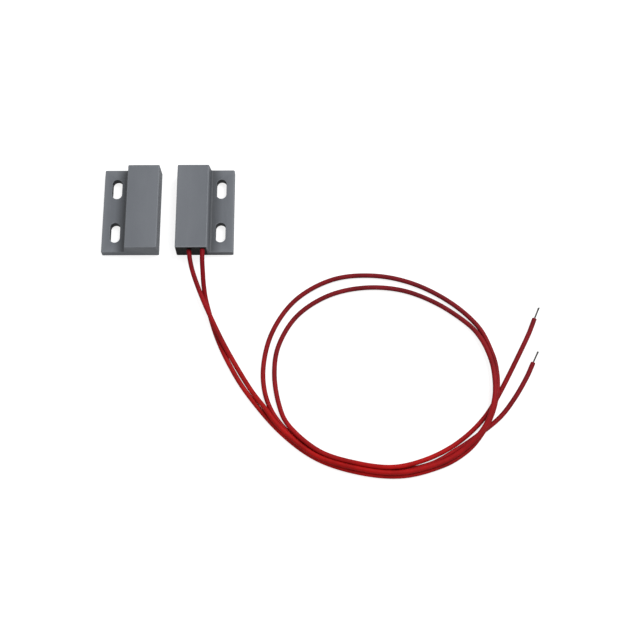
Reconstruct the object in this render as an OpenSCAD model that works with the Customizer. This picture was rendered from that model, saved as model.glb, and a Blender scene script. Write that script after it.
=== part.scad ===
// Flange-mount magnetic door switch: a reed-switch half with two red leads for the frame, and
// a magnet half for the door. Both halves use one moulded shell, closed at one end, potted
// with black resin at the other, with two slotted screw holes in a side flange.
// Millimetres, +Z up. Origin: middle of the pair, on the surface that it is screwed to.
// The leads leave towards -Y.

/* [Shell] */
// Length of each half
housing_l = 29; // [27:0.5:36]
// Width of each half, from the block's outer side to the flange's edge
housing_w = 18.4; // [17.6:0.2:24]
// Height of the raised block
housing_h = 6.8; // [6.4:0.1:9]
// Thickness of the screw flange
flange_t = 2.6; // [1.6:0.1:3.4]
// Width of the block across its flat top
block_top_w = 10.2; // [10:0.1:10.8]
// Lean of the block's outer side over its whole height
outer_draft = 0.1; // [0.05:0.05:0.3]
// Lean of the block's flange side, from the flange up to the top
flange_draft = 0.5; // [0.1:0.1:0.8]
// Radius of the blend where the block rises from the flange
foot_r = 0.6; // [0.3:0.1:0.8]
// Rounding of the long top edges and of the closed end's top edge
edge_r = 0.35; // [0.2:0.05:0.6]
// Rounding of the open end's top edge
mouth_edge_r = 0.55; // [0.2:0.05:0.7]
// Rounding of the upright corners, seen from above
corner_r = 0.4; // [0.2:0.1:0.8]
// Space between the two blocks, as the pair is laid out
halves_gap = 5.6; // [2:0.2:12]

/* [Cavity] */
// Side walls of the block
wall_t = 0.7; // [0.5:0.05:0.8]
// Wall over the cavity
roof_t = 0.8; // [0.6:0.05:1]
// Wall under the cavity
floor_t = 0.8; // [0.6:0.05:1]
// Closed end wall
end_wall_t = 1; // [0.8:0.1:1.6]
// Rim left around the open end
rim_t = 0.3; // [0.2:0.05:0.45]
// Depth of the flare inside the open end
flare_l = 0.8; // [0.5:0.1:1.2]
// Depth of the resin's face behind the open end
resin_gap = 0.1; // [0.05:0.05:0.4]

/* [Screw slots] */
// Width of each slot
slot_w = 3.2; // [2.6:0.1:3.6]
// Length of each slot, end to end
slot_l = 6.8; // [5:0.1:8]
// Distance between the centres of a half's two slots
slot_pitch = 15.3; // [13:0.1:16.5]
// From the flange's edge to the slots' centre line
slot_inset = 4.2; // [3:0.1:4.4]

/* [Reed switch] */
// Length of the glass capsule
glass_l = 14; // [12:0.2:14.6]
// Diameter of the glass capsule
glass_d = 2.2; // [2:0.1:2.6]
// Wall of the glass tube
glass_wall = 0.3; // [0.2:0.05:0.35]
// Length of glass melted round each reed
seal_l = 1.8; // [1.2:0.1:2.6]
// Middle of the capsule, measured from the middle of the half
glass_y = 0.5; // [-0.5:0.1:1]
// Diameter of the wire that each reed is made from
reed_wire_d = 0.5; // [0.4:0.05:0.6]
// Width of the flattened blades
blade_w = 1.1; // [0.8:0.05:1.2]
// Thickness of the flattened blades
blade_t = 0.22; // [0.16:0.02:0.28]
// Overlap of the two blades
blade_lap = 1.2; // [0.8:0.1:1.8]
// Gap between the open contacts
contact_gap = 0.06; // [0.04:0.01:0.1]
// Straight tail of the front reed outside the glass
tail_l = 3.3; // [3:0.1:3.6]
// From the glass to the cross run of the rear reed's tail
bend_y = 2; // [1.8:0.1:2.4]
// Radius of the bend in the rear reed's tail
bend_r = 1; // [0.7:0.1:1.2]

/* [Magnet] */
// Length of the bar magnet
magnet_l = 20; // [12:0.5:22]
// Width of the bar magnet
magnet_w = 6; // [4:0.5:7.5]
// Height of the bar magnet
magnet_h = 4; // [3:0.1:4.4]
// Chamfer along the magnet's long edges
magnet_chamfer = 0.4; // [0.2:0.1:0.8]

/* [Leads] */
// Diameter over the insulation
lead_d = 1.5; // [1.2:0.05:1.5]
// Diameter of the tinned strands
core_d = 0.5; // [0.4:0.05:0.6]
// Bare length at each far end
strip_l = 4.2; // [3:0.2:8]
// Bare length at each joint
joint_strip_l = 3.2; // [3:0.1:3.6]
// Height of the leads' axes at their joints, and of the left one where it leaves the resin
lead_z = 4.3; // [3.9:0.05:4.5]
// Resin over the right lead where it leaves, close under the cavity's roof
right_cover = 0.05; // [0.05:0.05:0.9]
// From the block's outer side to the left lead
left_lead_x = 4.4; // [4:0.1:4.6]
// From the block's outer side to the right lead
right_lead_x = 8.8; // [8.4:0.05:8.8]
// Diameter of the solder joints
solder_d = 1.4; // [1.3:0.05:1.5]
// Length of the front solder joint
front_solder_l = 2.4; // [2:0.1:2.8]
// Length of the rear solder joint
rear_solder_l = 1.8; // [1.6:0.1:2.2]

/* [Hidden] */

shell_colour = "#73757a";
resin_colour = "#18181a";
lead_colour = "#a0101c";
tin_colour = "#b4b4b0";
glass_colour = "#a9c9b4";
reed_colour = "#9a9a94";
ferrite_colour = "#3b3b3d";

$fn = 48;
past = 1;               // how far a cutter runs past a face that it opens
arc_steps = 4;          // flats in each small rounding of an outline
solder_steps = 7;       // cones in a solder joint
route_steps = 2;        // rings of a lead for each step of its route
lead_sides = 8;
lead_out = 3.5;         // straight run of a lead outside the resin
lead_sag = 0.1;         // drop of a lead over that run
left_lean = 0.5;        // sideways lean of the left lead over that run
rise_start = 1;         // level run of the right lead before it rises to the mouth
rise_play = 0.02;       // room round that level run in the resin
rise_past = 0.1;        // how far the room goes on past the start of the rise
solder_web = 0.05;      // solder between two wires that lie side by side
solder_cover = 0.2;     // solder past the cut end of a wire
strand_past = 0.8;      // right lead's strands past the cross run
tail_past = 0.4;        // cross run past the right lead's axis
blade_start = 0.3;      // from the glass seal to the start of a blade
blade_flare_l = 1.2;    // length over which a wire widens to its blade
blade_root = 0.34;      // side of the square, inside the round wire, where a blade starts
glass_end_r = 0.7;      // rounding of the capsule's melted ends
neck_l = 0.6;           // length over which the capsule's bore opens out

half_l = housing_l / 2;
block_top_x = outer_draft + block_top_w;
flange_lean = atan(flange_draft / (housing_h - flange_t));
outer_lean = atan(outer_draft / housing_h);
foot_x = block_top_x + flange_draft + foot_r / tan((90 + flange_lean) / 2);
slot_x = housing_w - slot_inset;
block_x = halves_gap / 2;

cavity_left_x = outer_draft + wall_t;
cavity_right_x = block_top_x - wall_t;
cavity_end_y = half_l - end_wall_t;
cavity_top_z = housing_h - roof_t;
cavity_mid_x = (cavity_left_x + cavity_right_x) / 2;

lead_r = lead_d / 2;
core_r = core_d / 2;
reed_r = reed_wire_d / 2;
glass_r = glass_d / 2;
bore_r = glass_r - glass_wall;
reed_z = lead_z - core_r - reed_r - solder_web;
joint_z = (lead_z + reed_z) / 2;
blade_z = (blade_t + contact_gap) / 2;
glass_front_y = glass_y - glass_l / 2;
glass_rear_y = glass_y + glass_l / 2;
front_tail_y = glass_front_y - tail_l;
cross_y = glass_rear_y + bend_y;
front_joint_y = front_tail_y + front_solder_l / 2 - solder_cover;
left_strand_y = front_joint_y + front_solder_l / 2 - solder_cover;
left_insulation_y = left_strand_y - joint_strip_l;
right_strand_y = cross_y + strand_past;
right_insulation_y = right_strand_y - joint_strip_l;
left_x = block_x + left_lead_x;
right_x = block_x + right_lead_x;
right_rise_y = right_insulation_y - rise_start;
right_exit_z = cavity_top_z - lead_r - right_cover;

// Routes of the leads, from the face of the resin to the end of the insulation: x, y and the
// height of the axis. A lead that is higher than its radius lies on top of another, and the
// left lead crosses over the right one soon after both have come down from the switch.
left_route = [
    [left_x, -half_l, lead_z], [left_x + left_lean, -half_l - lead_out, lead_z - lead_sag],
    [8.7, -22, 3.5], [10.9, -28, 2.6], [13.9, -35, 2.3], [18.2, -44, 2.1], [22.8, -52.2, 0.9],
    [27.7, -60.2, 1], [31.9, -65.9, 2], [37, -72.4, 2.2], [47.1, -80.6, 2.2], [59.5, -84.7, 2.2],
    [72, -86.2, 2.2], [83, -84, 2.2], [90.6, -80.4, 2.2], [96.7, -75.2, 3.5], [100.3, -69.8, 3.8],
    [102.4, -63, 3.8], [102.8, -56.3, 2.8], [102, -50.2, 2], [99.5, -43.9, 1.7], [95.4, -38.4, 0.9],
    [86, -31.6, 0.75], [75, -27.1, 0.75], [63, -26.2, 0.75], [51.5, -28.9, 0.75],
    [41.8, -35.5, 0.75], [36.1, -45, 0.75], [34.7, -54.5, 0.75], [36.2, -64.5, 0.75],
    [39.6, -71.8, 1.7], [48.6, -79.5, 2.2], [59.5, -83.1, 2.1], [70.5, -84.5, 2.2],
    [80.5, -82.2, 1.6], [90, -77.3, 0.75], [98, -70.4, 0.75], [103.9, -62, 0.75],
    [113.4, -44.2, 0.75], [116.7, -36.8, 0.75]
];
right_route = [
    [right_x, -half_l, right_exit_z], [right_x, -half_l - lead_out, right_exit_z - lead_sag],
    [11.8, -21.5, 4.2], [12.1, -26, 2.2], [13.1, -31.5, 0.8], [16.3, -42, 0.75],
    [20.5, -51.3, 0.75], [26.4, -61, 0.75], [36.4, -72.9, 0.75], [47.7, -81.5, 0.75],
    [61, -85.9, 0.75], [74, -86.9, 0.75], [86, -83.8, 0.75], [93.5, -79.4, 0.9], [98, -74.5, 2.2],
    [101.4, -68.5, 2.3], [103.4, -61.5, 2.3], [103.9, -54.5, 1], [102.7, -48, 0.75],
    [98.7, -39.3, 0.75], [90.1, -31.1, 0.75], [78.5, -24.8, 0.75], [66, -22.1, 0.75],
    [53, -23.4, 0.75], [41.4, -30.1, 0.75], [34, -40.8, 0.75], [31.2, -53, 0.75],
    [32.7, -63.7, 0.75], [38.1, -72.2, 0.75], [47.7, -79.6, 0.75], [59.4, -83.9, 0.75],
    [71, -85.3, 0.75], [82, -83.4, 0.75], [90.7, -78.7, 0.75], [97.5, -74.1, 0.75],
    [104.2, -68.7, 0.75], [109, -62.7, 0.75], [113, -56.2, 0.75], [115.4, -51.3, 0.75]
];

// Points of an arc from one angle to another, both ends included
function arc(centre, r, from, to, steps = arc_steps) = [
    for (i = [0 : steps])
        let (a = from + (to - from) * i / steps)
        centre + r * [cos(a), sin(a)]
];

// Cross-section of a half: the block on the left, the flange on the right
function shell_section() = concat(
    [[0, 0], [housing_w, 0]],
    arc([housing_w - edge_r, flange_t - edge_r], edge_r, 0, 90),
    arc([foot_x, flange_t + foot_r], foot_r, 270, 180 + flange_lean),
    arc([block_top_x - edge_r / tan((90 + flange_lean) / 2), housing_h - edge_r],
        edge_r, flange_lean, 90),
    arc([outer_draft + edge_r / tan((90 + outer_lean) / 2), housing_h - edge_r],
        edge_r, 90, 180 - outer_lean)
);

// Side view of a half up to a given height, with its two top ends rounded
function end_section(top) = concat(
    [[half_l, -past]],
    arc([half_l - edge_r, top - edge_r], edge_r, 0, 90),
    arc([-half_l + mouth_edge_r, top - mouth_edge_r], mouth_edge_r, 90, 180),
    [[-half_l, -past]]
);

// Smooth curve through a route's points
function between(a, b, c, d, t) =
    (2 * b + (c - a) * t + (2 * a - 5 * b + 4 * c - d) * t ^ 2 + (3 * b - a - 3 * c + d) * t ^ 3) / 2;

function smooth(route) =
    let (
        last = len(route) - 1,
        p = concat([2 * route[0] - route[1]], route, [2 * route[last] - route[last - 1]])
    )
    [
        for (i = [1 : last], s = [0 : route_steps - 1])
            resting(between(p[i - 1], p[i], p[i + 1], p[i + 2], s / route_steps)),
        resting(route[last])
    ];

function resting(point) = [point[0], point[1], max(point[2], lead_r)];

// Extrudes an outline of the XZ plane along Y, or one of the YZ plane along X
module along_y(from, to) {
    translate([0, to, 0]) rotate([90, 0, 0]) linear_extrude(to - from) children();
}

module along_x(from, to) {
    translate([from, 0, 0]) rotate([90, 0, 90]) linear_extrude(to - from) children();
}

// Round bar from one point to another
module bar(from, to, r) {
    run = to - from;
    translate(from)
        rotate([0, acos(run[2] / norm(run)), atan2(run[1], run[0])])
            cylinder(h = norm(run), r = r);
}

module shell() {
    difference() {
        intersection() {
            along_y(-half_l - past, half_l + past) polygon(shell_section());
            union() {
                along_x(-past, foot_x) polygon(end_section(housing_h));
                along_x(foot_x, housing_w + past) polygon(end_section(flange_t));
            }
            linear_extrude(housing_h + past) plan();
        }
        cavity();
        for (side = [-1, 1])
            translate([slot_x, side * slot_pitch / 2, -past]) slot();
    }
}

module plan() {
    polygon(concat(
        arc([corner_r, -half_l + corner_r], corner_r, 180, 270),
        arc([housing_w - corner_r, -half_l + corner_r], corner_r, 270, 360),
        arc([housing_w - corner_r, half_l - corner_r], corner_r, 0, 90),
        arc([corner_r, half_l - corner_r], corner_r, 90, 180)
    ));
}

module slot() {
    run = slot_l - slot_w;
    h = flange_t + 2 * past;
    for (side = [-1, 1])
        translate([0, side * run / 2, 0]) cylinder(h = h, r = slot_w / 2);
    translate([-slot_w / 2, -run / 2, 0]) cube([slot_w, run, h]);
}

// The pocket inside the block, which opens out in a short flare at its mouth
module cavity() {
    intersection() {
        linear_extrude(housing_h)
            polygon([
                [outer_draft + rim_t, -half_l - past], [block_top_x - rim_t, -half_l - past],
                [block_top_x - rim_t, -half_l], [cavity_right_x, -half_l + flare_l],
                [cavity_right_x, cavity_end_y], [cavity_left_x, cavity_end_y],
                [cavity_left_x, -half_l + flare_l], [outer_draft + rim_t, -half_l]
            ]);
        along_x(0, housing_w)
            polygon([
                [-half_l - past, rim_t], [-half_l, rim_t], [-half_l + flare_l, floor_t],
                [cavity_end_y, floor_t], [cavity_end_y, cavity_top_z],
                [-half_l + flare_l, cavity_top_z], [-half_l, housing_h - rim_t],
                [-half_l - past, housing_h - rim_t]
            ]);
    }
}

module resin_block() {
    intersection() {
        cavity();
        translate([0, -half_l + resin_gap, 0]) cube([housing_w, housing_l, housing_h]);
    }
}

module in_switch_half() {
    translate([block_x, 0, 0]) children();
}

module in_magnet_half() {
    rotate([0, 0, 180]) translate([block_x, 0, 0]) children();
}

module switch_housing() {
    color(shell_colour) in_switch_half() shell();
}

module magnet_housing() {
    color(shell_colour) in_magnet_half() shell();
}

module switch_resin() {
    color(resin_colour)
        difference() {
            in_switch_half() resin_block();
            along_y(glass_front_y, glass_rear_y) translate([left_x, reed_z]) circle(r = glass_r);
            front_wire();
            rear_wire();
            solder(left_x, front_joint_y, front_solder_l);
            solder(right_x, cross_y, rear_solder_l);
            bar([left_x, left_insulation_y, lead_z], [left_x, -half_l, lead_z], lead_r);
            right_lead_way();
            left_strands();
            right_strands();
        }
}

// The right lead runs level from its joint, and then rises evenly to the mouth
module right_lead_way() {
    bar(
        [right_x, right_insulation_y, lead_z], [right_x, right_rise_y - rise_past, lead_z],
        lead_r + rise_play
    );
    bar([right_x, right_rise_y, lead_z], [right_x, -half_l, right_exit_z], lead_r);
}

module magnet_resin() {
    color(resin_colour)
        difference() {
            in_magnet_half() resin_block();
            magnet();
        }
}

// Sealed glass tube, closed round the two reeds
module glass_capsule() {
    half = glass_l / 2;
    inner = half - seal_l;
    color(glass_colour)
        translate([left_x, glass_y, reed_z]) rotate([-90, 0, 0])
            rotate_extrude()
                polygon(concat(
                    arc([glass_r - glass_end_r, -half + glass_end_r], glass_end_r, 270, 360),
                    arc([glass_r - glass_end_r, half - glass_end_r], glass_end_r, 0, 90),
                    [
                        [reed_r, half], [reed_r, inner], [bore_r, inner - neck_l],
                        [bore_r, -inner + neck_l], [reed_r, -inner], [reed_r, -half]
                    ]
                ));
}

// Flat blade of a reed, pointing along +Y, from its root in the wire to its free end
module blade(length, lift) {
    root = blade_root / 2;
    intersection() {
        translate([0, 0, -glass_r]) linear_extrude(glass_d)
            polygon([
                [-root, -blade_root], [root, -blade_root], [root, 0], [blade_w / 2, blade_flare_l],
                [blade_w / 2, length], [-blade_w / 2, length], [-blade_w / 2, blade_flare_l],
                [-root, 0]
            ]);
        along_x(-glass_r, glass_r)
            polygon([
                [-blade_root, -root], [0, -root], [blade_flare_l, lift - blade_t / 2],
                [length, lift - blade_t / 2], [length, lift + blade_t / 2],
                [blade_flare_l, lift + blade_t / 2], [0, root], [-blade_root, root]
            ]);
    }
}

module front_wire() {
    bar([left_x, front_tail_y, reed_z], [left_x, glass_y - glass_l / 2 + seal_l + blade_start, reed_z],
        reed_r);
}

// The rear wire leaves the glass, turns through a right angle and runs across to the right lead
module rear_wire() {
    bar([left_x, glass_rear_y - seal_l - blade_start, reed_z], [left_x, cross_y - bend_r, reed_z], reed_r);
    translate([left_x + bend_r, cross_y - bend_r, reed_z])
        rotate([0, 0, 90]) rotate_extrude(angle = 90) translate([bend_r, 0]) circle(r = reed_r);
    cross_run();
}

module cross_run() {
    bar([left_x + bend_r, cross_y, reed_z], [right_x + tail_past, cross_y, reed_z], reed_r);
}

module front_reed() {
    root_y = glass_front_y + seal_l + blade_start;
    color(reed_colour) {
        front_wire();
        translate([left_x, root_y, reed_z]) blade(glass_y + blade_lap / 2 - root_y, blade_z);
    }
}

module rear_reed() {
    root_y = glass_rear_y - seal_l - blade_start;
    color(reed_colour) {
        rear_wire();
        translate([left_x, root_y, reed_z]) rotate([0, 0, 180])
            blade(root_y - glass_y + blade_lap / 2, -blade_z);
    }
}

// Spindle of solder along Y
module solder(x, y, length) {
    tip_r = solder_d / 5;
    translate([x, y, joint_z]) rotate([-90, 0, 0]) rotate(45)
        rotate_extrude()
            polygon(concat(
                [[0, length / 2], [0, -length / 2]],
                [
                    for (i = [0 : solder_steps])
                        let (a = -90 + 180 * i / solder_steps)
                        [tip_r + (solder_d / 2 - tip_r) * cos(a), length / 2 * sin(a)]
                ]
            ));
}

module front_solder_joint() {
    color(tin_colour)
        difference() {
            solder(left_x, front_joint_y, front_solder_l);
            front_wire();
            left_strands();
        }
}

module rear_solder_joint() {
    color(tin_colour)
        difference() {
            solder(right_x, cross_y, rear_solder_l);
            cross_run();
            right_strands();
        }
}

module left_strands() {
    bar([left_x, left_insulation_y, lead_z], [left_x, left_strand_y, lead_z], core_r);
}

module right_strands() {
    bar([right_x, right_insulation_y, lead_z], [right_x, right_strand_y, lead_z], core_r);
}

module left_lead_joint_strands() {
    color(tin_colour) left_strands();
}

module right_lead_joint_strands() {
    color(tin_colour) right_strands();
}

// Tube swept along the ring centres of a lead
module tube(centres) {
    last = len(centres) - 1;
    points = [
        for (i = [0 : last])
            let (
                run = centres[min(i + 1, last)] - centres[max(i - 1, 0)],
                side = cross(run, [0, 0, 1]) / norm(cross(run, [0, 0, 1])),
                up = cross(side, run) / norm(run)
            )
            for (k = [0 : lead_sides - 1])
                let (a = 360 * (k + 0.5) / lead_sides)
                centres[i] + lead_r * (cos(a) * side + sin(a) * up)
    ];
    skin = [
        for (i = [0 : last - 1], k = [0 : lead_sides - 1])
            let (
                here = i * lead_sides,
                next = (k + 1) % lead_sides
            )
            [here + k, here + next, here + next + lead_sides, here + k + lead_sides]
    ];
    near_end = [for (k = [lead_sides - 1 : -1 : 0]) k];
    far_end = [for (k = [0 : lead_sides - 1]) last * lead_sides + k];
    polyhedron(points = points, faces = concat([near_end], skin, [far_end]), convexity = 8);
}

module left_lead() {
    color(lead_colour) tube(concat([[left_x, left_insulation_y, lead_z]], smooth(left_route)));
}

module right_lead() {
    color(lead_colour)
        tube(concat(
            [[right_x, right_insulation_y, lead_z], [right_x, right_rise_y, lead_z]],
            smooth(right_route)
        ));
}

// Bare tinned strands that go straight on from the end of the insulation
module bare_end(route) {
    centres = smooth(route);
    end = centres[len(centres) - 1];
    run = end - centres[len(centres) - 2];
    bar(end, end + strip_l * run / norm(run), core_r);
}

module left_lead_bare_end() {
    color(tin_colour) bare_end(left_route);
}

module right_lead_bare_end() {
    color(tin_colour) bare_end(right_route);
}

// Bar magnet, lying on the floor of the magnet half's cavity
module magnet() {
    half_w = magnet_w / 2;
    in_magnet_half()
        translate([cavity_mid_x, 0, floor_t])
            along_y(-magnet_l / 2, magnet_l / 2)
                polygon([
                    [-half_w + magnet_chamfer, 0], [half_w - magnet_chamfer, 0],
                    [half_w, magnet_chamfer], [half_w, magnet_h - magnet_chamfer],
                    [half_w - magnet_chamfer, magnet_h], [-half_w + magnet_chamfer, magnet_h],
                    [-half_w, magnet_h - magnet_chamfer], [-half_w, magnet_chamfer]
                ]);
}

module bar_magnet() {
    color(ferrite_colour) magnet();
}

switch_housing();
switch_resin();
glass_capsule();
front_reed();
rear_reed();
front_solder_joint();
rear_solder_joint();
left_lead();
right_lead();
left_lead_joint_strands();
right_lead_joint_strands();
left_lead_bare_end();
right_lead_bare_end();
magnet_housing();
bar_magnet();
magnet_resin();
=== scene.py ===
import math

import bmesh
import bpy
from mathutils import Matrix, Vector
from mathutils.noise import noise as noiseAt


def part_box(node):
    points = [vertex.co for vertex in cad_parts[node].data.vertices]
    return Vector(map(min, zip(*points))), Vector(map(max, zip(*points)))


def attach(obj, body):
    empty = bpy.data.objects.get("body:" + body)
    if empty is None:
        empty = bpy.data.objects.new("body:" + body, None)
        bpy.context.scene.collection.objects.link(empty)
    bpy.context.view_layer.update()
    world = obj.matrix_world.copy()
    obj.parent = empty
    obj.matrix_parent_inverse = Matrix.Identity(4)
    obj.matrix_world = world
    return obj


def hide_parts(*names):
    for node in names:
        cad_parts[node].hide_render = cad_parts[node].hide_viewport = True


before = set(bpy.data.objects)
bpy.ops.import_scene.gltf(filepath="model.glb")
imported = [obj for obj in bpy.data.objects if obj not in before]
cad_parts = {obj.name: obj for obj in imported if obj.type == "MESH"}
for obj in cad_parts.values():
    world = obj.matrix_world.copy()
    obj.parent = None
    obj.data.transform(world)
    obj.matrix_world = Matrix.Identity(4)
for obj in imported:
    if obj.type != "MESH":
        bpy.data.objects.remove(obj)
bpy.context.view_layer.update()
print("frame loaded:", len(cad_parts), "nodes")

# Everything is in metres. The switch half stands at +X, the magnet half at -X, and both
# lie on z = 0. The leads leave towards -Y.

cameraSettings = {            # fitted to the edges and slots of the halves in the photograph
    "place": (0.048495, -0.159648, 0.3605),
    "direction": (0.001193, 0.322733, -0.946489),
    "lens": 67.72,
    "sensor": 36.0,
    "nearest": 0.01,
    "farthest": 20.0,
}


def makeCamera(settings):
    data = bpy.data.cameras.new("photo_camera")
    data.lens = settings["lens"]
    data.sensor_width = settings["sensor"]
    data.clip_start = settings["nearest"]
    data.clip_end = settings["farthest"]
    camera = bpy.data.objects.new("photo_camera", data)
    camera.location = settings["place"]
    camera.rotation_mode = "QUATERNION"
    camera.rotation_quaternion = Vector(settings["direction"]).to_track_quat("-Z", "Y")
    bpy.context.scene.collection.objects.link(camera)
    bpy.context.scene.camera = camera


makeCamera(cameraSettings)
print("camera placed")


def addNode(tree, kind, inputs=None, **settings):
    node = tree.nodes.new(kind)
    for name, value in settings.items():
        setattr(node, name, value)
    for key, value in (inputs or {}).items():
        if isinstance(value, bpy.types.NodeSocket):
            tree.links.new(value, node.inputs[key])
        else:
            node.inputs[key].default_value = value
    return node


def newMaterial(name, **sockets):  # constants go straight on the shader's sockets
    material = bpy.data.materials.new(name)
    material.use_nodes = True
    tree = material.node_tree
    tree.nodes.clear()
    shader = addNode(tree, "ShaderNodeBsdfPrincipled",
                     {key.replace("_", " "): value for key, value in sockets.items()})
    output = addNode(tree, "ShaderNodeOutputMaterial")
    tree.links.new(shader.outputs["BSDF"], output.inputs["Surface"])
    return material, tree, shader


def coordinates(tree, kind="Object", scale=(1, 1, 1)):
    source = addNode(tree, "ShaderNodeTexCoord").outputs[kind]
    return addNode(tree, "ShaderNodeMapping", {"Vector": source, "Scale": scale}).outputs["Vector"]


def calculate(tree, operation, *values):
    node = addNode(tree, "ShaderNodeMath", dict(enumerate(values)), operation=operation)
    return node.outputs["Value"]


def noise(tree, vector, scale, detail=3.0, roughness=0.5, distortion=0.0):
    return addNode(tree, "ShaderNodeTexNoise", {
        "Vector": vector, "Scale": scale, "Detail": detail, "Roughness": roughness,
        "Distortion": distortion}).outputs["Fac"]


def ramp(tree, factor, stops):
    node = addNode(tree, "ShaderNodeValToRGB", {"Fac": factor})
    elements = node.color_ramp.elements
    while len(elements) < len(stops):
        elements.new(0.5)
    for element, (position, colour) in zip(elements, stops):
        element.position = position
        element.color = (*colour, 1)
    return node.outputs["Color"]


def between(tree, value, low, high, fromLow=0.3, fromHigh=0.7):  # a noise is mostly in there
    return addNode(tree, "ShaderNodeMapRange", {
        "Value": value, "From Min": fromLow, "From Max": fromHigh,
        "To Min": low, "To Max": high}).outputs["Result"]


def bump(tree, height, distance, strength, under=None):
    inputs = {"Height": height, "Distance": distance, "Strength": strength}
    if under is not None:
        inputs["Normal"] = under
    return addNode(tree, "ShaderNodeBump", inputs).outputs["Normal"]


def blendColours(tree, factor, first, second, how="MIX"):
    node = addNode(tree, "ShaderNodeMix", data_type="RGBA", blend_type=how)
    for index, value in ((0, factor), (6, first), (7, second)):  # its sockets for colours
        if isinstance(value, bpy.types.NodeSocket):
            tree.links.new(value, node.inputs[index])
        else:
            node.inputs[index].default_value = value
    return node.outputs[2]


def once(parts):  # each one time, in the order found, which a set wouldn't keep
    return list(dict.fromkeys(parts))


def addPiece(name, bm, material, replaced, smoothUnder):
    for edge in bm.edges:
        edge.smooth = edge.calc_face_angle(math.pi) < math.radians(smoothUnder)
    for face in bm.faces:
        face.smooth = True
    mesh = bpy.data.meshes.new(name)
    bm.to_mesh(mesh)
    bm.free()
    mesh.materials.append(material)
    piece = bpy.data.objects.new(name, mesh)
    bpy.context.scene.collection.objects.link(piece)
    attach(piece, "root")
    if replaced:
        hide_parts(*replaced)
    return piece


# The two leads, from their joints in the resin to the end of the insulation. The points of
# the routes are those of the part's own leads.

leadSettings = {
    "radius": 0.00075,
    "sides": 20,
    "ringsPerStep": 10,
    "leftStart": [(0.0072, -0.011, 0.0043)],  # the insulation begins in the resin
    "rightStart": [(0.0116, 0.0071, 0.0043), (0.0116, 0.0061, 0.0043)],
    "startRings": 6,
    "cutRounding": 0.00007,   # edge of the cut insulation
    "cutSteps": 2,
    "smoothUnder": 60,        # degrees between faces that shade as one
    "paintedLightTones": [                # painted light and shade along the lead from the switch: lighter where the other leads shade it, darker where it lies in full light; as a share of the length given after this list
        (0.02, (0.22, 0.005, 0.010)), (0.12, (0.38, 0.009, 0.008)), (0.23, (0.43, 0.007, 0.006)),
        (0.48, (0.16, 0.012, 0.018)), (0.62, (0.22, 0.010, 0.014)), (0.76, (0.44, 0.007, 0.006)),
        (0.93, (0.19, 0.009, 0.014)),
    ],
    "paintedLightOver": 0.4,
    "mottle": (0.74, 1.26),
    "toneScale": 170,         # patches of lighter and darker red
    # pale specks painted as highlight
    "paintedHighlightSpecks": (0.42, 0.036, 0.040, 1),
    "paintedHighlightSpeckShare": 0.10,
    "roughness": (0.34, 0.50),
    "dullScale": 700,         # patches of rougher skin
    "fineScale": 2600, "fineRelief": 0.000008,
    "lineStretch": (6, 1200, 1), "lineScale": 4, "lineRelief": 0.00002,  # drawn lines
}
leftRoute = [
    (0.0072, -0.0145, 0.0043), (0.0077, -0.018, 0.0042), (0.0087, -0.022, 0.0035),
    (0.0109, -0.028, 0.0026), (0.0139, -0.035, 0.0023), (0.0182, -0.044, 0.0021),
    (0.0228, -0.0522, 0.0009), (0.0277, -0.0602, 0.001), (0.0319, -0.0659, 0.002),
    (0.037, -0.0724, 0.0022), (0.0471, -0.0806, 0.0022), (0.0595, -0.0847, 0.0022),
    (0.072, -0.0862, 0.0022), (0.083, -0.084, 0.0022), (0.0906, -0.0804, 0.0022),
    (0.0967, -0.0752, 0.0035), (0.1003, -0.0698, 0.0038), (0.1024, -0.063, 0.0038),
    (0.1028, -0.0563, 0.0028), (0.102, -0.0502, 0.002), (0.0995, -0.0439, 0.0017),
    (0.0954, -0.0384, 0.0009), (0.086, -0.0316, 0.00075), (0.075, -0.0271, 0.00075),
    (0.063, -0.0262, 0.00075), (0.0515, -0.0289, 0.00075), (0.0418, -0.0355, 0.00075),
    (0.0361, -0.045, 0.00075), (0.0347, -0.0545, 0.00075), (0.0362, -0.0645, 0.00075),
    (0.0396, -0.0718, 0.0017), (0.0486, -0.0795, 0.0022), (0.0595, -0.0831, 0.0021),
    (0.0705, -0.0845, 0.0022), (0.0805, -0.0822, 0.0016), (0.09, -0.0773, 0.00075),
    (0.098, -0.0704, 0.00075), (0.1039, -0.062, 0.00075), (0.1134, -0.0442, 0.00075),
    (0.1167, -0.0368, 0.00075),
]
rightRoute = [
    (0.0116, -0.0145, 0.0052), (0.0116, -0.018, 0.0051), (0.0118, -0.0215, 0.0042),
    (0.0121, -0.026, 0.0022), (0.0131, -0.0315, 0.0008), (0.0163, -0.042, 0.00075),
    (0.0205, -0.0513, 0.00075), (0.0264, -0.061, 0.00075), (0.0364, -0.0729, 0.00075),
    (0.0477, -0.0815, 0.00075), (0.061, -0.0859, 0.00075), (0.074, -0.0869, 0.00075),
    (0.086, -0.0838, 0.00075), (0.0935, -0.0794, 0.0009), (0.098, -0.0745, 0.0022),
    (0.1014, -0.0685, 0.0023), (0.1034, -0.0615, 0.0023), (0.1039, -0.0545, 0.001),
    (0.1027, -0.048, 0.00075), (0.0987, -0.0393, 0.00075), (0.0901, -0.0311, 0.00075),
    (0.0785, -0.0248, 0.00075), (0.066, -0.0221, 0.00075), (0.053, -0.0234, 0.00075),
    (0.0414, -0.0301, 0.00075), (0.034, -0.0408, 0.00075), (0.0312, -0.053, 0.00075),
    (0.0327, -0.0637, 0.00075), (0.0381, -0.0722, 0.00075), (0.0477, -0.0796, 0.00075),
    (0.0594, -0.0839, 0.00075), (0.071, -0.0853, 0.00075), (0.082, -0.0834, 0.00075),
    (0.0907, -0.0787, 0.00075), (0.0975, -0.0741, 0.00075), (0.1042, -0.0687, 0.00075),
    (0.109, -0.0627, 0.00075), (0.113, -0.0562, 0.00075), (0.1154, -0.0513, 0.00075),
]


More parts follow.
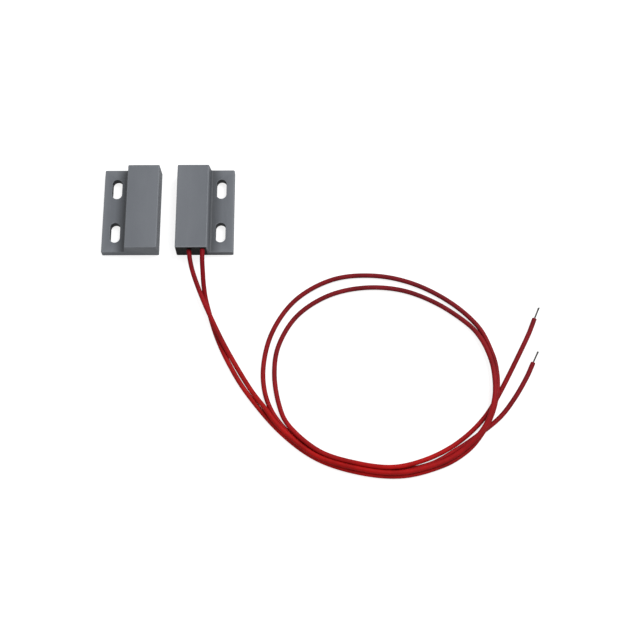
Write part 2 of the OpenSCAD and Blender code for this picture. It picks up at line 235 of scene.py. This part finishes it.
def smoothRoute(route, steps, lowest):  # a smooth curve through the points
    points = [Vector(p) for p in route]
    points = [2 * points[0] - points[1], *points, 2 * points[-1] - points[-2]]
    path = []
    for a, b, c, d in zip(points, points[1:], points[2:], points[3:]):
        for step in range(steps):
            t = step / steps
            path.append((2 * b + (c - a) * t + (2 * a - 5 * b + 4 * c - d) * t ** 2
                         + (3 * b - a - 3 * c + d) * t ** 3) / 2)
    path.append(points[-2])
    return [Vector((p.x, p.y, max(p.z, lowest))) for p in path]


def wholePath(start, route, settings):
    count = settings["startRings"]
    stops = [Vector(p) for p in (*start, route[0])]
    inside = [a.lerp(b, i / count) for a, b in zip(stops, stops[1:]) for i in range(count)]
    return inside + smoothRoute(route, settings["ringsPerStep"], settings["radius"])


def pathLength(path):
    return sum((b - a).length for a, b in zip(path, path[1:]))


def ringFrames(path):  # one turned frame per point, carried along without twist
    ahead = [(b - a).normalized() for a, b in zip(path, path[1:])]
    tangents = [ahead[0], *[(a + b).normalized() for a, b in zip(ahead, ahead[1:])], ahead[-1]]
    side = tangents[0].orthogonal().normalized()
    frames = []
    for place, tangent in zip(path, tangents):
        side = (side - tangent * side.dot(tangent)).normalized()
        up = tangent.cross(side)
        frames.append((place, side, up))
    return frames


def addTube(bm, path, radius, sides, begin=0.0):  # a rolled grid, mapped along and around
    uvLayer = bm.loops.layers.uv.get("along") or bm.loops.layers.uv.new("along")
    rings = len(path)
    spans = [begin]
    for a, b in zip(path, path[1:]):
        spans.append(spans[-1] + (b - a).length)
    frames = ringFrames(path)
    before = set(bm.faces)
    made = bmesh.ops.create_grid(bm, x_segments=sides, y_segments=rings - 1, size=0.5)["verts"]
    faces = [f for f in bm.faces if f not in before]
    for face in faces:
        for loop in face.loops:
            across, along = loop.vert.co.x + 0.5, loop.vert.co.y + 0.5
            loop[uvLayer].uv = (across, spans[round(along * (rings - 1))])
    for vert in made:
        angle = (vert.co.x + 0.5) * math.tau
        index = round((vert.co.y + 0.5) * (rings - 1))
        place, side, up = frames[index]
        vert.co = place + radius * (side * math.cos(angle) + up * math.sin(angle))
    bmesh.ops.remove_doubles(bm, verts=made, dist=1e-7)
    rims = once(e for v in made if v.is_valid for e in v.link_edges if e.is_boundary)
    return bmesh.ops.edgeloop_fill(bm, edges=rims)["faces"]


def makeInsulation(settings):
    material, tree, shader = newMaterial("red_insulation", IOR=1.46, Specular_IOR_Level=0.07)
    along = coordinates(tree, "UV", settings["lineStretch"])
    place = coordinates(tree)
    tone = noise(tree, place, settings["toneScale"], detail=4, roughness=0.6)
    fine = noise(tree, place, settings["fineScale"], roughness=0.6)
    length = addNode(tree, "ShaderNodeSeparateXYZ", {"Vector": coordinates(tree, "UV")})
    length = between(tree, length.outputs["Y"], 0.0, 1.0, 0.0, settings["paintedLightOver"])
    # painted light and shade along the lead, times a random mottle
    colour = blendColours(tree, 1.0, ramp(tree, length, settings["paintedLightTones"]),
                          between(tree, tone, *settings["mottle"]), "MULTIPLY")
    # pale specks painted as highlight, at random
    colour = blendColours(tree, between(tree, fine, 0.0, settings["paintedHighlightSpeckShare"]), colour,
                          settings["paintedHighlightSpecks"])
    tree.links.new(colour, shader.inputs["Base Color"])
    dull = noise(tree, place, settings["dullScale"])
    tree.links.new(between(tree, dull, *settings["roughness"]), shader.inputs["Roughness"])
    lines = noise(tree, along, settings["lineScale"], detail=2)
    skin = bump(tree, fine, settings["fineRelief"], strength=0.5)
    skin = bump(tree, lines, settings["lineRelief"], strength=0.4, under=skin)
    tree.links.new(skin, shader.inputs["Normal"])
    return material


def makeLead(name, start, route, node, material, settings):
    path = wholePath(start, route, settings)
    hidden = path[:len(start) * settings["startRings"] + 1]
    bm = bmesh.new()
    caps = addTube(bm, path, settings["radius"], settings["sides"], -pathLength(hidden))
    bmesh.ops.bevel(bm, geom=once(e for f in caps for e in f.edges),
                    offset=settings["cutRounding"], offset_type="OFFSET",
                    segments=settings["cutSteps"], profile=0.5, affect="EDGES", material=-1)
    bmesh.ops.recalc_face_normals(bm, faces=bm.faces)
    piece = addPiece(name, bm, material, [node], settings["smoothUnder"])
    return piece, path


insulation = makeInsulation(leadSettings)
leftLead, leftPath = makeLead("left_lead_cover", leadSettings["leftStart"], leftRoute,
                              "left_lead", insulation, leadSettings)
rightLead, rightPath = makeLead("right_lead_cover", leadSettings["rightStart"], rightRoute,
                                "right_lead", insulation, leadSettings)
print("leads made: %.4f m and %.4f m" % (pathLength(leftPath), pathLength(rightPath)))


# The tinned strands at the far ends: one in the middle and six laid round it

strandSettings = {
    "radius": 0.000085,
    "count": 6,
    "spread": 0.000166,       # from the middle strand's axis to the others'
    "pitch": 0.0052,
    "bare": 0.0042,
    "hidden": 0.0012,         # run inside the insulation
    "rings": 40,
    "sides": 8,
    "smoothUnder": 50,
    "fray": 0.00012,          # how far the tips stand apart
    "frayFrom": 0.6,          # share of the bare length where they begin to part
    "shorter": 0.00035,       # the most that a strand falls short of the longest
    "cutTurn": 2.3, "cutStart": 0.7,  # the uneven cut, in radians from strand to strand
    "colours": [(0.3, (0.042, 0.041, 0.039)), (0.7, (0.092, 0.090, 0.086))],
    "toneScale": 1500,
    "roughness": (0.25, 0.5),
    "reliefScale": 9000, "relief": 0.000006,
}


def makeTinned(settings):
    material, tree, shader = newMaterial("tinned_copper", Metallic=1.0)
    place = coordinates(tree)
    tone = noise(tree, place, settings["toneScale"], detail=4, roughness=0.6)
    tree.links.new(ramp(tree, tone, settings["colours"]), shader.inputs["Base Color"])
    tree.links.new(between(tree, tone, *settings["roughness"]), shader.inputs["Roughness"])
    relief = noise(tree, place, settings["reliefScale"], detail=2)
    tree.links.new(bump(tree, relief, settings["relief"], strength=0.6), shader.inputs["Normal"])
    return material


def strandPath(strand, begin, out, side, up, settings):  # a helix that opens at its tip
    cut = math.sin(settings["cutTurn"] * strand + settings["cutStart"])
    length = settings["bare"] - settings["shorter"] * (0.5 + 0.5 * cut)
    path = []
    for i in range(settings["rings"] + 1):
        run = -settings["hidden"] + (length + settings["hidden"]) * i / settings["rings"]
        angle = strand * math.tau / settings["count"] + run / settings["pitch"] * math.tau
        opening = max(0.0, run / settings["bare"] - settings["frayFrom"])
        opening /= 1 - settings["frayFrom"]
        off = settings["spread"] + settings["fray"] * opening ** 2
        if strand == settings["count"]:  # the one in the middle
            off = 0.0
        path.append(begin + out * run + off * (side * math.cos(angle) + up * math.sin(angle)))
    return path


def makeBareEnd(name, lead, node, material, settings):
    out = (lead[-1] - lead[-2]).normalized()
    side = out.cross(Vector((0, 0, 1))).normalized()
    up = side.cross(out)
    bm = bmesh.new()
    for strand in range(settings["count"] + 1):
        path = strandPath(strand, lead[-1], out, side, up, settings)
        addTube(bm, path, settings["radius"], settings["sides"])
    bmesh.ops.recalc_face_normals(bm, faces=bm.faces)
    return addPiece(name, bm, material, [node], settings["smoothUnder"])


tinned = makeTinned(strandSettings)
leftEnd = makeBareEnd("left_wire_tip", leftPath, "left_lead_bare_end", tinned, strandSettings)
rightEnd = makeBareEnd("right_wire_tip", rightPath, "right_lead_bare_end", tinned, strandSettings)

print("wire tips made")


# Plastic of the two shells

shellSettings = {
    "colours": [(0.25, (0.120, 0.131, 0.149)), (0.75, (0.138, 0.150, 0.168))],
    "edge": (0.270, 0.285, 0.310, 1), "edgeShare": 0.8,  # painted highlight on the rounded edges
    "hollow": (0.012, 0.0135, 0.016, 1), "hollowShare": 0.95,  # painted shade low in the slots, at the lip, in the foot's fillet and beside the block's foot
    "footX": 0.0135, "footNear": 0.0007, "footFar": 0.0039,  # shade beside the block's foot
    "footLow": 0.0026, "footHigh": 0.0068, "footShare": 0.57,
    "flowStretch": (1, 0.3, 1), "flowScale": 260,     # streaks of the melt along the block
    "roughness": (0.46, 0.58), "dullScale": 1300,
    "grain": 0.000012, "grainScale": 7000,
    "speck": (0.165, 0.172, 0.185, 1), "speckShare": 0.25,
}


def shadeBesideFoot(tree, place, settings):  # along the block, and not round its ends
    axes = addNode(tree, "ShaderNodeSeparateXYZ", {"Vector": place}).outputs
    across = calculate(tree, "ABSOLUTE", axes["X"])
    across = calculate(tree, "ABSOLUTE", calculate(tree, "SUBTRACT", across, settings["footX"]))
    near = between(tree, across, settings["footShare"], 0.0, settings["footNear"],
                   settings["footFar"])
    low = between(tree, axes["Z"], 1.0, 0.0, settings["footLow"], settings["footHigh"])
    normal = addNode(tree, "ShaderNodeNewGeometry").outputs["Normal"]
    turned = addNode(tree, "ShaderNodeSeparateXYZ", {"Vector": normal}).outputs["Y"]
    sideways = between(tree, calculate(tree, "ABSOLUTE", turned), 1.0, 0.0)
    return calculate(tree, "MULTIPLY", calculate(tree, "MULTIPLY", near, low), sideways)


def makeShellPlastic(settings):
    material, tree, shader = newMaterial("satin_grey_plastic", IOR=1.5, Specular_IOR_Level=0.3)
    place = coordinates(tree)
    flow = noise(tree, coordinates(tree, "Object", settings["flowStretch"]), settings["flowScale"],
                 detail=4, roughness=0.55, distortion=0.4)
    grain = noise(tree, place, settings["grainScale"], detail=2)
    colour = ramp(tree, flow, settings["colours"])
    colour = blendColours(tree, between(tree, grain, 0.0, settings["speckShare"]), colour,
                          settings["speck"])
    # painted highlight on the edges, and painted shade in the slots, at the lip and in the foot's
    # fillet
    for mark in ("edge", "hollow"):
        share = addNode(tree, "ShaderNodeAttribute", attribute_name=mark).outputs["Fac"]
        share = between(tree, share, 0.0, settings[mark + "Share"], 0.0, 1.0)
        colour = blendColours(tree, share, colour, settings[mark])
    colour = blendColours(tree, shadeBesideFoot(tree, place, settings), colour,
                          settings["hollow"])
    tree.links.new(colour, shader.inputs["Base Color"])
    dull = noise(tree, place, settings["dullScale"])
    tree.links.new(between(tree, dull, *settings["roughness"]), shader.inputs["Roughness"])
    tree.links.new(bump(tree, grain, settings["grain"], strength=0.5), shader.inputs["Normal"])
    return material


shellPlastic = makeShellPlastic(shellSettings)

# The moulded shells of the two halves, each built with its block's outer side at x = 0 and
# its open end at -Y, and then laid in its place

housingLow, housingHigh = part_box("switch_housing")
shellShape = {
    "length": housingHigh.y - housingLow.y, "width": housingHigh.x - housingLow.x,
    "height": housingHigh.z, "gap": 2 * housingLow.x,
    "flange": 0.0026, "blockTop": 0.0102, "outerLean": 0.0001, "flangeLean": 0.0005,
    "foot": 0.0006, "edge": 0.00035, "mouthEdge": 0.00055,  # roundings
    "corner": 0.0004, "crease": 0.0002, "base": 0.0001, "edgeSteps": 5,
    "thinLip": 0.00014, "sideLip": 0.00025, "topLip": 0.0003,  # rim round the mouth
    "flare": 0.0008,          # how deep the mouth narrows to the cavity
    "wall": 0.0007, "roof": 0.0008, "under": 0.0008, "endWall": 0.001,  # round the cavity
    "frontFacing": 0.3,       # how far a face has to look out of the open end to be of it
    "frontDepth": 0.6,        # and the share of the end's rounding that it has to lie within
    "slotWidth": 0.0032, "slotLength": 0.0068, "slotPitch": 0.0153, "slotInset": 0.0042,
    "slotSides": 48, "slotBorder": 0.0003, "slotRim": 0.00015, "rimSteps": 4,
    "flatUnder": 0.5, "smoothUnder": 50,  # degrees
    "edgeTurn": 10, "edgeFull": 8,  # degrees where the painted edge highlight, and the fillet's painted shade, begin to show, and from there to full
    "otherEdgeHighlight": 0.6,        # share of the painted edge highlight on the edges that look less than otherFacing out of it
    "otherFacing": 0.2,
    # how dark the painted shade is in the slots, at the lip, on the flange's front foot and in the
    # foot's fillet
    "slotShade": 0.6, "lipShade": 1.0, "frontShade": 0.4, "footShade": 0.2,
    "lipReach": 0.0002,       # the lip's shade ends this far up and back
    "rimReach": 0.9,          # the slot's painted shade ends this share of its rim's rounding below the top
    "slotReach": 0.00001,     # and this far beside its wall
    "tiny": 0.000001,         # metres that don't count
}


def onlyVerts(parts):
    return [p for p in parts if isinstance(p, bmesh.types.BMVert)]


def onlyEdges(parts):
    return [p for p in parts if isinstance(p, bmesh.types.BMEdge)]


def roundEdges(bm, width, steps):  # each edge by its own weight
    mesh = bpy.data.meshes.new("draft")
    bm.to_mesh(mesh)
    bm.free()
    draft = bpy.data.objects.new("draft", mesh)
    bpy.context.scene.collection.objects.link(draft)
    modifier = draft.modifiers.new("edges", "BEVEL")
    modifier.limit_method = "WEIGHT"
    modifier.offset_type = "OFFSET"
    modifier.width = width
    modifier.segments = steps
    modifier.profile = 0.5
    rounded = bmesh.new()
    rounded.from_object(draft, bpy.context.evaluated_depsgraph_get())
    bpy.data.objects.remove(draft)
    bpy.data.meshes.remove(mesh)
    return rounded


def makeShellBody(shape):
    half = shape["length"] / 2
    top = shape["outerLean"] + shape["blockTop"]
    foot = top + shape["flangeLean"]
    outline = [(0, 0), (shape["width"], 0), (shape["width"], shape["flange"]),
               (foot, shape["flange"]), (top, shape["height"]),
               (shape["outerLean"], shape["height"])]
    bm = bmesh.new()
    end = bm.faces.new([bm.verts.new((x, -half, z)) for x, z in outline])
    grown = bmesh.ops.extrude_face_region(bm, geom=[end])["geom"]
    bmesh.ops.translate(bm, vec=(0, shape["length"], 0), verts=onlyVerts(grown))
    bmesh.ops.recalc_face_normals(bm, faces=bm.faces)
    weight = bm.edges.layers.float.new("bevel_weight_edge")
    for edge in bm.edges:
        a, b = (v.co for v in edge.verts)
        middle, run = (a + b) / 2, b - a
        if middle.z < shape["tiny"]:
            size = shape["base"]
        elif abs(run.y) > shape["tiny"]:  # along the shell
            size = shape["foot"] if abs(middle.x - foot) < shape["tiny"] else shape["edge"]
        elif abs(run.x) > abs(run.z):  # across one of its ends
            atMouth = middle.y < 0 and middle.z > shape["flange"] + shape["tiny"]
            size = shape["mouthEdge"] if atMouth else shape["edge"]
        else:  # upright, at the corners of the flange and the block
            outside = middle.x < shape["outerLean"] or middle.x > shape["width"] - shape["tiny"]
            size = shape["corner"] if outside else shape["crease"]
        edge[weight] = size / shape["foot"]
    return roundEdges(bm, shape["foot"], shape["edgeSteps"])


def mouthEdges(shape):  # left, right, low and high
    top = shape["outerLean"] + shape["blockTop"]
    return (shape["outerLean"] + shape["thinLip"], top - shape["sideLip"], shape["thinLip"],
            shape["height"] - shape["topLip"])


def frontFaces(bm, shape):
    deepest = shape["frontDepth"] * shape["mouthEdge"] - shape["length"] / 2
    return [f for f in bm.faces
            if f.normal.y < -shape["frontFacing"] and f.calc_center_median().y < deepest]


def cutPocket(bm, shape):  # the mouth, its flare and the cavity behind it
    half = shape["length"] / 2
    top = shape["outerLean"] + shape["blockTop"]
    left, right, low, high = mouthEdges(shape)
    for place, normal in (((left, 0, 0), (1, 0, 0)), ((right, 0, 0), (1, 0, 0)),
                          ((0, 0, low), (0, 0, 1)), ((0, 0, high), (0, 0, 1))):
        faces = frontFaces(bm, shape)
        edges = once(e for f in faces for e in f.edges)
        verts = once(v for f in faces for v in f.verts)
        bmesh.ops.bisect_plane(bm, geom=faces + edges + verts, dist=1e-8, plane_co=place,
                               plane_no=normal)
    opening = [f for f in frontFaces(bm, shape) if left < f.calc_center_median().x < right
               and low < f.calc_center_median().z < high]
    bmesh.ops.delete(bm, geom=opening, context="FACES")
    bmesh.ops.dissolve_limit(bm, angle_limit=math.radians(shape["flatUnder"]), verts=bm.verts,
                             edges=[e for e in bm.edges if not e.is_boundary])
    lip = [e for e in bm.edges if e.is_boundary]
    innerX = (shape["outerLean"] + shape["wall"], top - shape["wall"])
    innerZ = (shape["under"], shape["height"] - shape["roof"])
    grown = bmesh.ops.extrude_edge_only(bm, edges=lip)["geom"]
    for v in onlyVerts(grown):
        across, up = (v.co.x - left) / (right - left), (v.co.z - low) / (high - low)
        v.co = (innerX[0] + across * (innerX[1] - innerX[0]), -half + shape["flare"],
                innerZ[0] + up * (innerZ[1] - innerZ[0]))
    grown = bmesh.ops.extrude_edge_only(bm, edges=onlyEdges(grown))["geom"]
    for v in onlyVerts(grown):
        v.co.y = half - shape["endWall"]
    bmesh.ops.edgeloop_fill(bm, edges=onlyEdges(grown))


def cutSlot(bm, shape, slotY):  # its wall, and a flat border at each end: four loops, from above
    x, radius = shape["width"] - shape["slotInset"], shape["slotWidth"] / 2
    outer, run = radius + shape["slotBorder"], (shape["slotLength"] - shape["slotWidth"]) / 2
    turned = Matrix.Rotation(math.pi / shape["slotSides"], 4, "Z")
    place = Matrix.Translation((x, slotY, shape["flange"])) @ turned
    verts = bmesh.ops.create_circle(bm, cap_ends=False, segments=shape["slotSides"], radius=outer,
                                    matrix=place)["verts"]
    for v in verts:
        v.co.y += run if v.co.y > slotY else -run
    loops = [once(e for v in verts for e in v.link_edges)]
    for reach, z in ((radius, shape["flange"]), (radius, 0.0), (outer, 0.0)):
        grown = bmesh.ops.extrude_edge_only(bm, edges=loops[-1])["geom"]
        for v in onlyVerts(grown):
            centre = Vector((x, slotY + (run if v.co.y > slotY else -run), z))
            out = Vector((v.co.x - centre.x, v.co.y - centre.y, 0)).normalized()
            v.co = centre + out * reach
        loops.append(onlyEdges(grown))
    return loops


def refillFlat(bm, shape, z, up, borders):  # the flat face at this height, now round the slots
    flat = [f for f in bm.faces
            if f.normal.z * up > 0 and abs(f.calc_center_median().z - z) < shape["tiny"]]
    flat = max(flat, key=lambda f: f.calc_area())
    outline = list(flat.edges)
    bmesh.ops.delete(bm, geom=[flat], context="FACES_ONLY")
    filled = bmesh.ops.triangle_fill(bm, use_beauty=True, edges=outline + borders,
                                     normal=(0, 0, up))["geom"]
    faces = [p for p in filled if isinstance(p, bmesh.types.BMFace)]
    inside = once(e for f in faces for e in f.edges
                  if all(other in faces for other in e.link_faces))
    bmesh.ops.dissolve_limit(bm, angle_limit=math.radians(shape["flatUnder"]), edges=inside)


def markSurface(bm, shape):  # painted highlight on the outer edges, and painted shade low in the slots, at the lip and in the foot's fillet
    paintedHighlightMark = bm.verts.layers.float.new("edge")
    paintedShadeMark = bm.verts.layers.float.new("hollow")
    slotX = shape["width"] - shape["slotInset"]
    slotSide = shape["slotWidth"] / 2 + shape["slotReach"]
    slotTop = shape["flange"] - shape["rimReach"] * shape["slotRim"]
    lipBack = shape["lipReach"] - shape["length"] / 2
    for v in bm.verts:
        turns = [math.degrees(e.calc_face_angle_signed(0.0)) for e in v.link_edges]
        # painted highlight on the convex edges, fullest on those that look out of the open end
        v[paintedHighlightMark] = min(1.0, max(0.0, (max(turns) - shape["edgeTurn"]) / shape["edgeFull"]))
        if v.normal.y > -shape["otherFacing"]:
            v[paintedHighlightMark] *= shape["otherEdgeHighlight"]
        # painted shade in the foot's fillet
        foot = min(1.0, max(0.0, (-min(turns) - shape["edgeTurn"]) / shape["edgeFull"]))
        v[paintedShadeMark] = shape["footShade"] * foot
        # painted shade down the slot walls, darkest at the bottom
        if abs(v.co.x - slotX) < slotSide and v.co.z < slotTop:
            v[paintedShadeMark] = min(1.0, shape["slotShade"] + 1 - v.co.z / shape["flange"])
            v[paintedHighlightMark] = 0.0
        # painted shade on the lip under the mouth and on the flange's front foot
        elif v.co.y < lipBack and v.co.z < shape["lipReach"]:
            v[paintedShadeMark] = shape["lipShade"] if v.co.x < shape["blockTop"] else shape["frontShade"]
            v[paintedHighlightMark] = 0.0


def makeShellForm(shape):  # both halves come out of one mould
    bm = makeShellBody(shape)
    cutPocket(bm, shape)
    slots = [cutSlot(bm, shape, side * shape["slotPitch"] / 2) for side in (-1, 1)]
    refillFlat(bm, shape, shape["flange"], 1, [e for loops in slots for e in loops[0]])
    refillFlat(bm, shape, 0.0, -1, [e for loops in slots for e in loops[3]])
    bmesh.ops.recalc_face_normals(bm, faces=bm.faces)
    bmesh.ops.bevel(bm, geom=[e for loops in slots for e in loops[1] + loops[2]],
                    offset=shape["slotRim"], offset_type="OFFSET", segments=shape["rimSteps"],
                    profile=0.5, affect="EDGES", material=-1)
    markSurface(bm, shape)
    return bm


def layShell(name, node, form, place, material, shape):
    bm = form.copy()
    bmesh.ops.transform(bm, matrix=place, verts=bm.verts)
    piece = addPiece(name, bm, material, [node], shape["smoothUnder"])
    shading = piece.modifiers.new("flat faces stay flat", "WEIGHTED_NORMAL")
    shading.keep_sharp = True


switchPlace = Matrix.Translation((shellShape["gap"] / 2, 0, 0))
magnetPlace = Matrix.Rotation(math.pi, 4, "Z") @ switchPlace
shellForm = makeShellForm(shellShape)
layShell("switch_shell", "switch_housing", shellForm, switchPlace, shellPlastic, shellShape)
layShell("magnet_shell", "magnet_housing", shellForm, magnetPlace, shellPlastic, shellShape)
print("shells made:", len(shellForm.faces), "faces each")
shellForm.free()


# The resin that fills both halves, with a skin over its face that climbs at walls and leads

resinSettings = {
    "colours": [(0.3, (0.0035, 0.0035, 0.0035)), (0.7, (0.009, 0.008, 0.007))],
    "roughness": (0.34, 0.55),
    "columns": 72, "rows": 48,
    "smoothUnder": 60,
    "recess": 0.0001,         # the solid's own face, behind the open end
    "depth": 0.00015,         # thickness of the skin
    "wallClimb": 0.00007, "wallReach": 0.0003,
    "leadClimb": 0.0002, "leadReach": 0.0002,
    "leadFall": 1.3,          # how steeply the climb at a lead ends
    "ripple": 0.00003, "rippleScale": 420,
    "toneScale": 900,
    "reliefScale": 2400, "relief": 0.00001,
}


def makeResin(settings):
    material, tree, shader = newMaterial("black_potting_resin", IOR=1.52, Specular_IOR_Level=0.07)
    place = coordinates(tree)
    tone = noise(tree, place, settings["toneScale"], roughness=0.6)
    tree.links.new(ramp(tree, tone, settings["colours"]), shader.inputs["Base Color"])
    tree.links.new(between(tree, tone, *settings["roughness"]), shader.inputs["Roughness"])
    relief = noise(tree, place, settings["reliefScale"], detail=2)
    tree.links.new(bump(tree, relief, settings["relief"], strength=0.5), shader.inputs["Normal"])
    return material


def makeResinFace(name, place, leads, material, settings, shape):
    left, right, low, high = mouthEdges(shape)
    face = -shape["length"] / 2 + settings["recess"]
    bm = bmesh.new()
    bmesh.ops.create_grid(bm, x_segments=settings["columns"], y_segments=settings["rows"], size=0.5)
    for v in bm.verts:
        x = left + (v.co.x + 0.5) * (right - left)
        z = low + (v.co.y + 0.5) * (high - low)
        wall = min(x - left, right - x, z - low, high - z)
        climb = settings["wallClimb"] * math.exp(-wall / settings["wallReach"])
        for leadX, leadZ in leads:
            gap = max(0.0, math.hypot(x - leadX, z - leadZ) - leadSettings["radius"])
            fall = (gap / settings["leadReach"]) ** settings["leadFall"]
            climb += settings["leadClimb"] * math.exp(-fall)
        swell = noiseAt(Vector((x, 0, z)) * settings["rippleScale"]) * settings["ripple"]
        v.co = (x, face - settings["ripple"] - climb - swell, z)
    bmesh.ops.recalc_face_normals(bm, faces=bm.faces)
    if sum(f.normal.y for f in bm.faces) > 0:  # it has to look out of the mouth
        bmesh.ops.reverse_faces(bm, faces=bm.faces)
    bmesh.ops.solidify(bm, geom=bm.faces, thickness=settings["depth"])
    bmesh.ops.transform(bm, matrix=place, verts=bm.verts)
    bmesh.ops.recalc_face_normals(bm, faces=bm.faces)
    addPiece(name, bm, material, [], settings["smoothUnder"])


resin = makeResin(resinSettings)
makeResinFace("switch_resin_face", switchPlace,
              [(x - shellShape["gap"] / 2, z) for x, y, z in (leftRoute[0], rightRoute[0])],
              resin, resinSettings, shellShape)
makeResinFace("magnet_resin_face", magnetPlace, [], resin, resinSettings, shellShape)
print("resin made")


# What the resin hides: the reed switch, its joints and the magnet

innerSettings = {
    "glass": [(0.2, (0.78, 0.90, 0.82)), (0.8, (0.88, 0.96, 0.90))],
    "glassStretch": (1, 0.15, 1), "glassScale": 2200, "glassRoughness": (0.01, 0.06),
    "glassRelief": 0.000004,
    "reed": [(0.3, (0.36, 0.35, 0.32)), (0.7, (0.52, 0.51, 0.48))],
    "reedStretch": (1, 0.05, 1), "reedScale": 4000, "reedRoughness": (0.22, 0.4),
    "reedRelief": 0.000004,
    "solder": [(0.3, (0.42, 0.42, 0.41)), (0.7, (0.66, 0.66, 0.65))],
    "solderStretch": (1, 1, 1), "solderScale": 1800, "solderRoughness": (0.15, 0.4),
    "solderRelief": 0.00002,
    "ferrite": [(0.2, (0.022, 0.022, 0.024)), (0.8, (0.050, 0.049, 0.050))],
    "grainScale": 5200,
    "groundStretch": (1, 0.06, 1), "groundScale": 3000, "groundRoughness": (0.4, 0.7),
    "groundRelief": 0.000006,
}


def makeGlass(settings):
    material, tree, shader = newMaterial("capsule_glass", IOR=1.5, Transmission_Weight=1.0)
    place = coordinates(tree, "Object", settings["glassStretch"])
    drawn = noise(tree, place, settings["glassScale"], detail=2)
    tree.links.new(ramp(tree, drawn, settings["glass"]), shader.inputs["Base Color"])
    tree.links.new(between(tree, drawn, *settings["glassRoughness"]), shader.inputs["Roughness"])
    skin = bump(tree, drawn, settings["glassRelief"], strength=0.4)
    tree.links.new(skin, shader.inputs["Normal"])
    return material


def makeMetal(name, metal, settings):
    material, tree, shader = newMaterial(name, Metallic=1.0)
    place = coordinates(tree, "Object", settings[metal + "Stretch"])
    tone = noise(tree, place, settings[metal + "Scale"], detail=4, roughness=0.6)
    tree.links.new(ramp(tree, tone, settings[metal]), shader.inputs["Base Color"])
    tree.links.new(between(tree, tone, *settings[metal + "Roughness"]), shader.inputs["Roughness"])
    skin = bump(tree, tone, settings[metal + "Relief"], strength=0.6)
    tree.links.new(skin, shader.inputs["Normal"])
    return material


def makeFerrite(settings):
    material, tree, shader = newMaterial("ground_ferrite", Specular_IOR_Level=0.4)
    grains = addNode(tree, "ShaderNodeTexVoronoi",
                     {"Vector": coordinates(tree), "Scale": settings["grainScale"]})
    ground = noise(tree, coordinates(tree, "Object", settings["groundStretch"]),
                   settings["groundScale"])
    tone = calculate(tree, "MULTIPLY", grains.outputs["Distance"], ground)
    tree.links.new(ramp(tree, tone, settings["ferrite"]), shader.inputs["Base Color"])
    tree.links.new(between(tree, ground, *settings["groundRoughness"]), shader.inputs["Roughness"])
    skin = bump(tree, ground, settings["groundRelief"], strength=0.5)
    tree.links.new(skin, shader.inputs["Normal"])
    return material


for material, nodes in (
        (resin, ("switch_resin", "magnet_resin")),
        (makeGlass(innerSettings), ("glass_capsule",)),
        (makeMetal("reed_wire", "reed", innerSettings), ("front_reed", "rear_reed")),
        (makeMetal("solder_bead", "solder", innerSettings),
         ("front_solder_joint", "rear_solder_joint")),
        (tinned, ("left_lead_joint_strands", "right_lead_joint_strands")),
        (makeFerrite(innerSettings), ("bar_magnet",))):
    for node in nodes:
        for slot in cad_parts[node].material_slots:
            slot.material = material
print("inner pieces finished")


# Floor, light and background

lightSettings = {
    "floorSize": 3.0,
    "floorDepth": 0.00006,    # just under the object
    "floorColour": 0.5,
    "floorGlow": 0.76,        # for the camera, so that the floor shows white
    "mirrorGlow": 0.2,        # and for what the object mirrors of it
    "ambient": 0.55,
    "keyPlace": (0.42, 0.33, 0.8), "keySize": 0.5, "keyPower": 4.6,
    "fillPlace": (-0.5, 0.1, 0.9), "fillSize": 0.8, "fillPower": 0.6,
    "target": (0.03, -0.03, 0),
}


def whiteRays(tree):  # the camera's, and those that gloss and glass send out
    rays = addNode(tree, "ShaderNodeLightPath").outputs
    mirror = calculate(tree, "MAXIMUM", rays["Is Glossy Ray"], rays["Is Transmission Ray"])
    return rays["Is Camera Ray"], mirror


def makeFloor(settings):
    bm = bmesh.new()
    bmesh.ops.create_grid(bm, x_segments=1, y_segments=1, size=settings["floorSize"] / 2,
                          matrix=Matrix.Translation((0, 0, -settings["floorDepth"])))
    mesh = bpy.data.meshes.new("floor")
    bm.to_mesh(mesh)
    bm.free()
    floor = bpy.data.objects.new("floor", mesh)
    bpy.context.scene.collection.objects.link(floor)
    material, tree, shader = newMaterial("pale_floor", Roughness=0.9, Specular_IOR_Level=0.0)
    level = settings["floorColour"]
    shader.inputs["Base Color"].default_value = (level, level, level, 1)
    shader.inputs["Emission Color"].default_value = (1, 1, 1, 1)
    camera, mirror = whiteRays(tree)
    glow = calculate(tree, "MULTIPLY", camera, settings["floorGlow"])
    glow = calculate(tree, "MULTIPLY_ADD", mirror, settings["mirrorGlow"], glow)
    tree.links.new(glow, shader.inputs["Emission Strength"])
    mesh.materials.append(material)


def makeWorld(settings):
    world = bpy.data.worlds.new("studio")
    bpy.context.scene.world = world
    world.use_nodes = True
    tree = world.node_tree
    tree.nodes.clear()
    camera, mirror = whiteRays(tree)
    level = between(tree, calculate(tree, "MAXIMUM", camera, mirror), settings["ambient"], 1.0,
                    0.0, 1.0)
    background = addNode(tree, "ShaderNodeBackground", {"Color": (1, 1, 1, 1), "Strength": level})
    output = addNode(tree, "ShaderNodeOutputWorld")
    tree.links.new(background.outputs["Background"], output.inputs["Surface"])


def makeLamp(kind, settings):
    data = bpy.data.lights.new(kind + "_lamp", "AREA")
    data.shape = "DISK"
    data.size = settings[kind + "Size"]
    data.energy = settings[kind + "Power"]
    lamp = bpy.data.objects.new(kind + "_lamp", data)
    lamp.location = settings[kind + "Place"]
    lamp.rotation_mode = "QUATERNION"
    aim = Vector(settings["target"]) - Vector(settings[kind + "Place"])
    lamp.rotation_quaternion = aim.to_track_quat("-Z", "Y")
    bpy.context.scene.collection.objects.link(lamp)


makeFloor(lightSettings)
makeWorld(lightSettings)
makeLamp("key", lightSettings)
makeLamp("fill", lightSettings)
bpy.context.scene.view_settings.view_transform = "Standard"
print("studio made")
